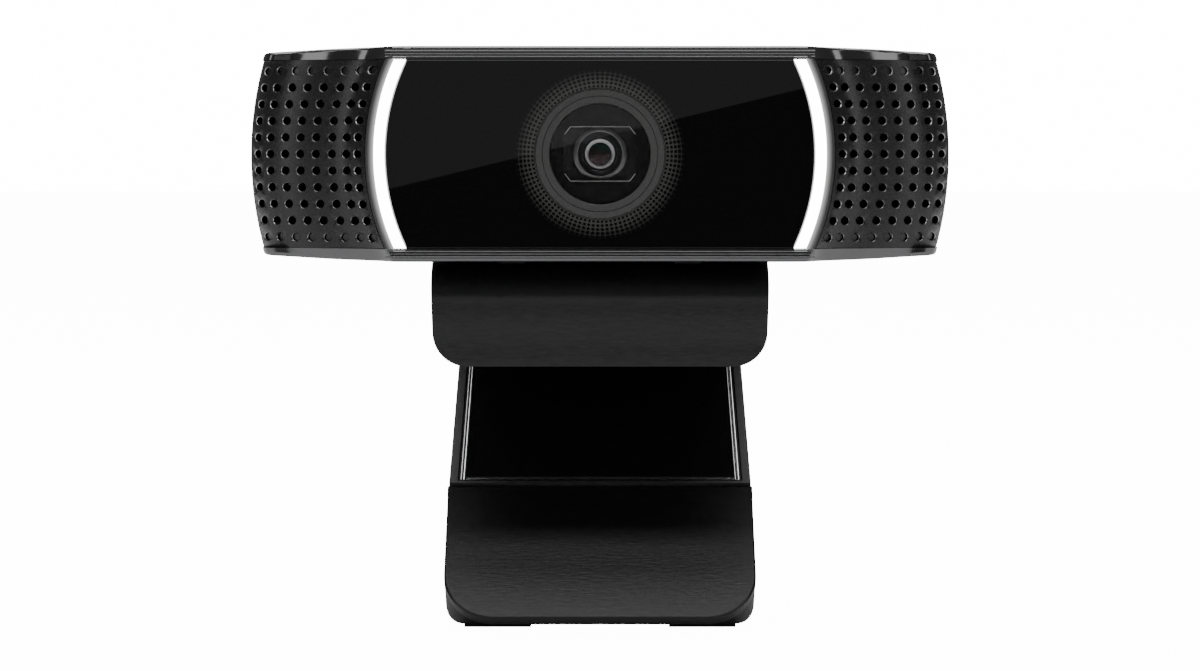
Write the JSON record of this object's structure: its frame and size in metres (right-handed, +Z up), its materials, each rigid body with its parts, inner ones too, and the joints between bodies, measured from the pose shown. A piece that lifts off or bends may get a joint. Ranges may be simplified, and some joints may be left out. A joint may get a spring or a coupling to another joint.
{
  "type": "clip-on webcam",
  "caption": "Wide webcam head with perforated wings and light strips on a tilting screen-edge arm with front lip, folding leg and hinged foot with a tripod socket.",
  "frame": {"origin": "centre of the lower face of the rubber pad that rests on a screen's top edge", "axes": "+Z up, the lens looks along -Y, +X to the right seen from the front"},
  "size_m": [0.0954, 0.0612, 0.079],
  "materials": {
    "frame_metal": "satin anodised dark grey front frame and chassis paint",
    "window_gloss": "black gloss front window",
    "lens_glass": "coated optical glass",
    "dark_metal": "dark lens parts",
    "bright_ring": "bare turned aluminium ring",
    "grille_metal": "dark grey perforated metal",
    "mesh_cloth": "black acoustic cloth",
    "light_guide": "white diffusing light guide",
    "circuit_board": "green solder mask",
    "led_chip": "phosphor-coated light chips",
    "black_plastic": "fine-textured black plastic",
    "rear_shell": "soft-touch dark grey plastic",
    "cast_metal": "die-cast chassis",
    "steel": "steel axles and screws",
    "spring_steel": "rolled spring steel clips",
    "magnet_metal": "nickel-plated magnets",
    "copper_coil": "enamelled copper winding",
    "filter_glass": "infrared filter",
    "sensor_chip": "sensor package",
    "soft_pad": "soft thermal pad",
    "rubber_black": "black rubber",
    "arm_plastic": "satin dark grey arm",
    "panel_gloss": "black gloss leg panel",
    "trim_bright": "polished trim line",
    "pad_gloss": "smooth black rubber pad",
    "brass_insert": "brass threaded insert"
  },
  "bodies": {
    "arm": {"arm_shell": "arm_plastic", "arm_cover": "black_plastic", "arm_screws": "steel", "screen_pad": "rubber_black", "lip_pad": "rubber_black", "tilt_friction_clip": "spring_steel", "leg_friction_clip": "spring_steel"},
    "head": {"front_frame": "frame_metal", "front_window": "window_gloss", "lens_ring": "window_gloss", "lens_cover": "lens_glass", "lens_mask": "dark_metal", "window_carrier": "black_plastic", "focus_housing": "black_plastic", "focus_magnets": "magnet_metal", "ir_filter": "filter_glass", "image_sensor": "sensor_chip", "main_board": "circuit_board", "board_screws": "steel", "board_connector": "black_plastic", "thermal_pad": "soft_pad", "chassis": "cast_metal", "chassis_screws": "steel", "rear_cover": "rear_shell", "cover_screws": "steel", "cable_gland": "rubber_black", "tilt_axle": "steel", "grille_left": "grille_metal", "acoustic_mesh_left": "mesh_cloth", "light_strip_left": "light_guide", "led_board_left": "circuit_board", "leds_left": "led_chip", "microphone_boot_left": "rubber_black", "microphone_left": "magnet_metal", "microphone_board_left": "circuit_board", "grille_right": "grille_metal", "acoustic_mesh_right": "mesh_cloth", "light_strip_right": "light_guide", "led_board_right": "circuit_board", "leds_right": "led_chip", "microphone_boot_right": "rubber_black", "microphone_right": "magnet_metal", "microphone_board_right": "circuit_board"},
    "lens": {"lens_barrel": "dark_metal", "front_lens": "lens_glass", "rear_lenses": "lens_glass", "lens_retainer": "bright_ring", "focus_coil": "copper_coil"},
    "leg": {"leg_frame": "arm_plastic", "leg_panel": "panel_gloss", "leg_trim_left": "trim_bright", "leg_trim_right": "trim_bright", "leg_trim_bottom": "trim_bright", "leg_axle": "steel", "foot_friction_clip": "spring_steel"},
    "foot": {"foot_frame": "arm_plastic", "foot_pad": "pad_gloss", "thread_insert": "brass_insert", "foot_bumpers": "rubber_black", "foot_axle": "steel"}
  },
  "joints": [
    {"name": "head_tilt", "type": "hinge", "parent": "arm", "child": "head", "pos_m": [0, -0.017, 0.0048], "axis": [1, 0, 0], "range_deg": [-20, 10]},
    {"name": "lens_focus", "type": "slide", "parent": "head", "child": "lens", "axis": [0, -1, 0], "range_m": [0, 0.0003], "stiffness_N_per_m": 60},
    {"name": "leg_fold", "type": "hinge", "parent": "arm", "child": "leg", "pos_m": [0, 0.027, 0.0013], "axis": [1, 0, 0], "range_deg": [-25, 99]},
    {"name": "foot_fold", "type": "hinge", "parent": "leg", "child": "foot", "pos_m": [0, -0.00587, -0.02601], "axis": [1, 0, 0], "range_deg": [0, 90]}
  ]
}
